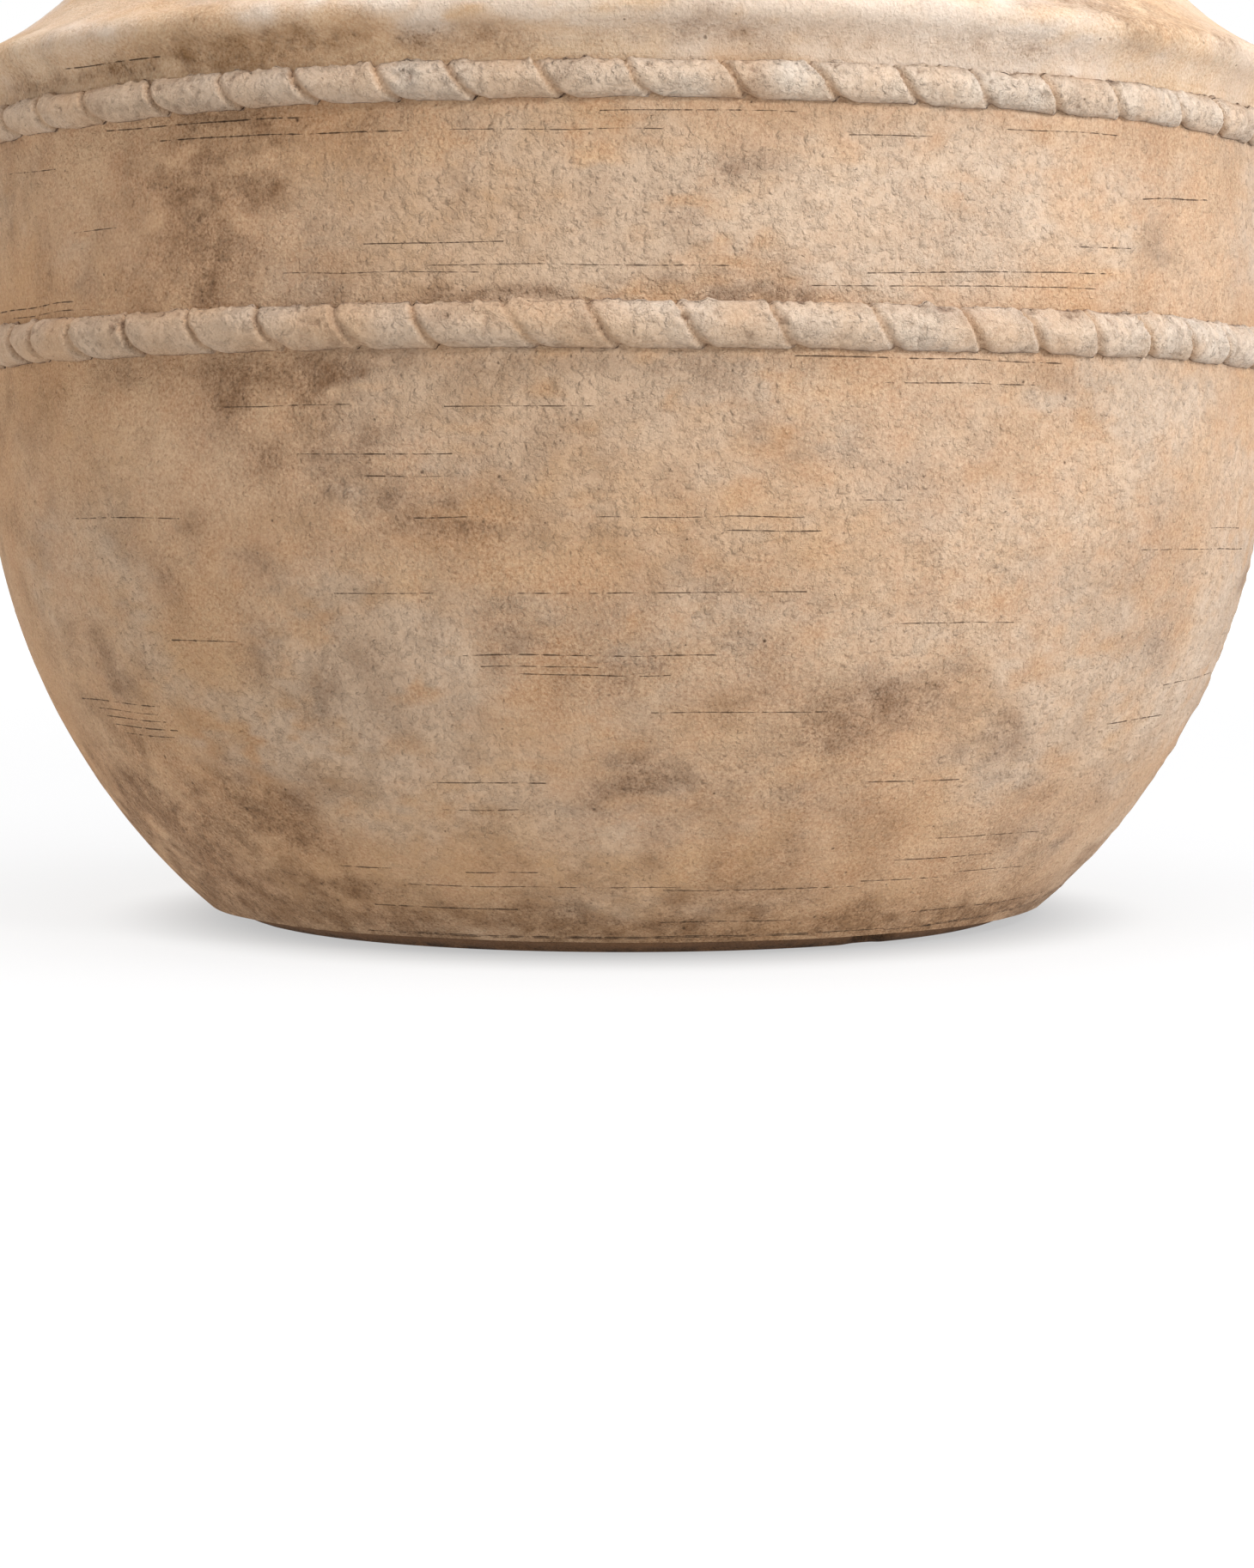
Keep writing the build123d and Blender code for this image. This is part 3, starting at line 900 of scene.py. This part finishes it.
def rope_band(name, height, width, relief, paleness, front_presses):
    """A half-round coil on the belly: an arc through both its edges and its crest, carried round the
    axis. A press takes depth from the arc's radius: all of it at the foot of its steep left bank, and less
    and less along the sweep to the right, measured along the band in mm. Left of the bank, the pushed clay
    stands up in a low lip. Crumbs of clay and nicks roughen the coil, most on its upper half."""
    first, last = front_presses[0], front_presses[-1]
    spare = press_total - len(front_presses)
    pitch = (360 - last + first) / (spare + 1)
    behind = last + pitch * np.arange(1, spare + 1) + dice.normal(0, 0.5, spare)
    presses = np.append(front_presses, behind)
    depth = press_depth * dice.uniform(0.7, 1.15, press_total)
    lean = press_lean * dice.uniform(0.85, 1.12, press_total)

    coil_radius = (width ** 2 / 4 + relief ** 2) / (2 * relief)
    half_turn = np.degrees(np.arcsin(width / 2 / coil_radius)) + sunk_turn
    crest = belly_radius(height) + relief
    turn = np.linspace(-half_turn, half_turn, band_rows)
    section = heading(turn).T
    coil = turned((crest - coil_radius, height) + coil_radius * section, band_columns)
    outwards = turned(section, band_columns)
    turn = turn[:, None]
    down = (half_turn - turn) / (2 * half_turn)
    sweep = 0.25 * down + 0.75 * down ** 2 - 0.5
    spread = right_bank * (0.5 + down)
    ragged = cloud(coil, 9, 3.0) + 0.5 * cloud(coil, 3, 5.0)

    taken = np.zeros((band_rows, band_columns))
    for middle, deep, slant in zip(presses, depth, lean):
        turned_by = np.radians((angles(coil) - middle + 180) % 360 - 180)
        along = turned_by * crest - slant * sweep + ragged
        steep = np.clip(1 + along / left_bank, 0, 1)
        gentle = np.clip((spread - along) / spread, 0, 1)
        bank = np.where(along < 0, steep, gentle)
        lip = lip_share * np.exp(-(((along + lip_offset) / lip_half_width) ** 2))
        taken += deep * (bank * bank * (3 - 2 * bank) - lip)

    from_edge = half_turn - abs(turn)
    upper = np.clip(0.5 + turn / half_turn, 0.2, 1) * np.clip(from_edge / crumb_fade, 0, 1)
    crumbs = np.clip(cloud(coil, 4, 2.8) + 0.8 * cloud(coil, 2.2, 6.4) - 0.25, 0, 1) * upper
    nicks = np.clip(cloud(coil, 6, 5.9) + 0.8 * cloud(coil, 2.4, 3.6) - 0.5, 0, 1) * (0.3 + upper)
    lumpy = 0.45 * cloud(coil, 26, 1.1) + 0.4 * cloud(coil, 8, 4.2) + 1.4 * crumbs - 1.4 * nicks - 0.5
    points = coil + outwards * (lumpy - taken)[..., None]
    points[..., 2] += 0.5 * cloud(coil * (1, 1, 0), 90, 5.5) + 0.4 * cloud(coil, 14, 9.9)

    # The crest is rubbed pale, painted paler still on the lit side to the right, and painted with rust on
    # the shaded left. Dirt lies in the nicks, and dirt and painted shade in the presses and along both edges
    crust = cloud(coil * (1, 1, 0), 45, 7.1) + 0.8 * cloud(coil, 5, 1.7)
    edge_dirt_and_shade = edge_dirt_shade_turn + edge_dirt_shade_waver * crust * (turn > 0)
    edge = np.clip((edge_dirt_and_shade - from_edge) / edge_dirt_shade_fade, 0, 1)
    pressed = np.clip(taken / press_depth, 0, 1)
    pale_lit_side = paleness + 0.3 * np.sin(np.radians(angles(points)))
    rubbed = pale_lit_side + 0.5 * cloud(points, 18, 2.4) - 0.6 * pressed
    spotted = 0.3 * cloud(points, 24, 6.1) + 0.3 * cloud(points, 7, 9.4) + 0.8 * nicks
    dirt_and_shade = 0.42 * pressed + 0.9 * edge + spotted
    tinge = 1 - 1.8 * pale_lit_side + 0.3 * cloud(points, 60, 7.3)
    wash = np.clip(np.stack([rubbed, dirt_and_shade, tinge], axis=-1), 0, 1)

    # A ragged crack along the upper edge, and a nearly straight dark line along the lower edge, painted
    # shade and dirt in the crease under the coil
    above_upper = np.radians(upper_crack_turn - half_turn + turn) * coil_radius
    above_lower = np.radians(half_turn - lower_line_turn + turn) * coil_radius
    upper_crack = above_upper + 1.4 * cloud(points, 6, 8.6)
    lower_dark_line = above_lower + 0.3 * cloud(points, 14, 3.9)
    score = np.stack([upper_crack, lower_dark_line, np.full(upper_crack.shape, unscored)], axis=-1)
    score[abs(score) > crack_reach] = unscored
    return clay_piece(name, points, wash, score)


# Height of the joint, width, relief, paleness of the crest, and presses
bands = {
    ("lower_rope", "rope_band_lower"): (lower_band_height, 18.7, 8.6, 0.48, lower_presses),
    ("upper_rope", "rope_band_upper"): (upper_band_height, 15.6, 7.6, 0.54, upper_presses),
}
for (name, node), sizes in bands.items():
    band = rope_band(name, *sizes)
    band.data.materials.append(rubbed_clay)
    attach(band, "root")
    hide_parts(node)


# Studio: a plain pale floor that glows a little, less so round the foot, a key light to the right of the
# camera, a cool light from the right side, a softbox overhead, a warm low fill behind on the left, and a
# pale world that is bright only near the horizon.
floor_half = 30.0
floor_corners = floor_half * np.array([(-1, -1, 0), (1, -1, 0), (1, 1, 0), (-1, 1, 0)])
floor_mesh = bpy.data.meshes.new("floor")
floor_mesh.from_pydata(floor_corners.tolist(), [], [(0, 1, 2, 3)])
floor = bpy.data.objects.new("floor", floor_mesh)
bpy.context.scene.collection.objects.link(floor)
# The floor is grey and looks white by its glow, which lights the jar from below like a lamp
floor_paint = bpy.data.materials.new("grey_glowing_floor")
floor_paint.use_nodes = True
floor_tree = floor_paint.node_tree
floor_spot = add_node(floor_tree, "TexCoord", {}).outputs["Object"]
floor_distance = add_node(floor_tree, "VectorMath", {0: floor_spot}, operation="LENGTH").outputs["Value"]
# The floor runs up to a lit sweep: it glows more the further it is from the jar, to 4 m away
floor_ramp = {"Value": floor_distance, "From Min": 0.5, "From Max": 4.0, "To Min": 0.82, "To Max": 1.0}
floor_glow = add_node(floor_tree, "MapRange", floor_ramp).outputs[0]
# Painted contact shadow: the glow is dimmer close round the foot, where the jar stands in its light
foot_shadow_ramp = {"Value": floor_distance, "From Min": 0.17, "From Max": 0.25, "To Min": 0.6, "To Max": 1.0}
floor_shade = add_node(floor_tree, "MapRange", foot_shadow_ramp, interpolation_type="SMOOTHSTEP").outputs[0]
floor_glow = add_node(floor_tree, "Math", {0: floor_glow, 1: floor_shade}, operation="MULTIPLY").outputs[0]
floor_shader = floor_tree.nodes["Principled BSDF"].inputs
floor_shader["Base Color"].default_value = linear("#595959")
floor_shader["Roughness"].default_value = 0.9
floor_shader["Emission Color"].default_value = linear("#FFFFFF")
floor_tree.links.new(floor_glow, floor_shader["Emission Strength"])
floor_mesh.materials.append(floor_paint)
floor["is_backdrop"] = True

# Each softbox: azimuth from the front, elevation, distance and side in metres, power in watts, colour
softboxes = {
    "key": (32, 25, 2.4, 0.5, 32, "#FFFDFA"),
    "side": (85, 8, 2.4, 1.0, 27, "#EEF3FF"),
    "overhead": (15, 78, 2.2, 1.8, 71, "#F4F7FF"),
    "rim_fill": (-110, 14, 2.4, 1.2, 15, "#FFF2E4"),
}
aim = np.array([0.0, 0.0, 0.25])
for name, (azimuth, elevation, distance, side, power, tint) in softboxes.items():
    lamp = bpy.data.lights.new(name, "AREA")
    lamp.size = side
    lamp.energy = power
    lamp.color = linear(tint)[:3]
    level, up = np.cos(np.radians(elevation)), np.sin(np.radians(elevation))
    across, away = np.sin(np.radians(azimuth)), np.cos(np.radians(azimuth))
    softbox = bpy.data.objects.new(name, lamp)
    softbox.location = aim + distance * np.array([level * across, -level * away, up])
    softbox.rotation_euler = (np.radians(90 - elevation), 0, np.radians(azimuth))
    bpy.context.scene.collection.objects.link(softbox)

world = bpy.data.worlds.new("pale_studio")
bpy.context.scene.world = world
world.use_nodes = True
sky = world.node_tree
sky.nodes.clear()
direction = add_node(sky, "TexCoord", {}).outputs["Generated"]
upness = add_node(sky, "SeparateXYZ", {0: direction}).outputs["Z"]
glow = {"Value": upness, "From Min": 0.16, "From Max": 0.24, "To Min": 1.0, "To Max": 0.16}
strength = add_node(sky, "MapRange", glow).outputs[0]
ambient = add_node(sky, "Background", {"Color": linear("#FFFFFF"), "Strength": strength}).outputs[0]
add_node(sky, "OutputWorld", {"Surface": ambient})
bpy.context.scene.view_settings.view_transform = "Standard"

# Camera: in front, at the height of the bowl, and turned down a little, in metres and radians
camera_place = (0.0007, -1.6452, 0.1723)
camera_dip = 0.0691
camera_data = bpy.data.cameras.new("camera")
camera_data.lens = 81.5
camera = bpy.data.objects.new("camera", camera_data)
camera.location = camera_place
camera.rotation_euler = (np.radians(90) - camera_dip, 0, 0)
bpy.context.scene.collection.objects.link(camera)
bpy.context.scene.camera = camera

sizes = {"cad": [list(corner) for corner in cad_box], "visual": [list(corner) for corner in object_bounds()]}
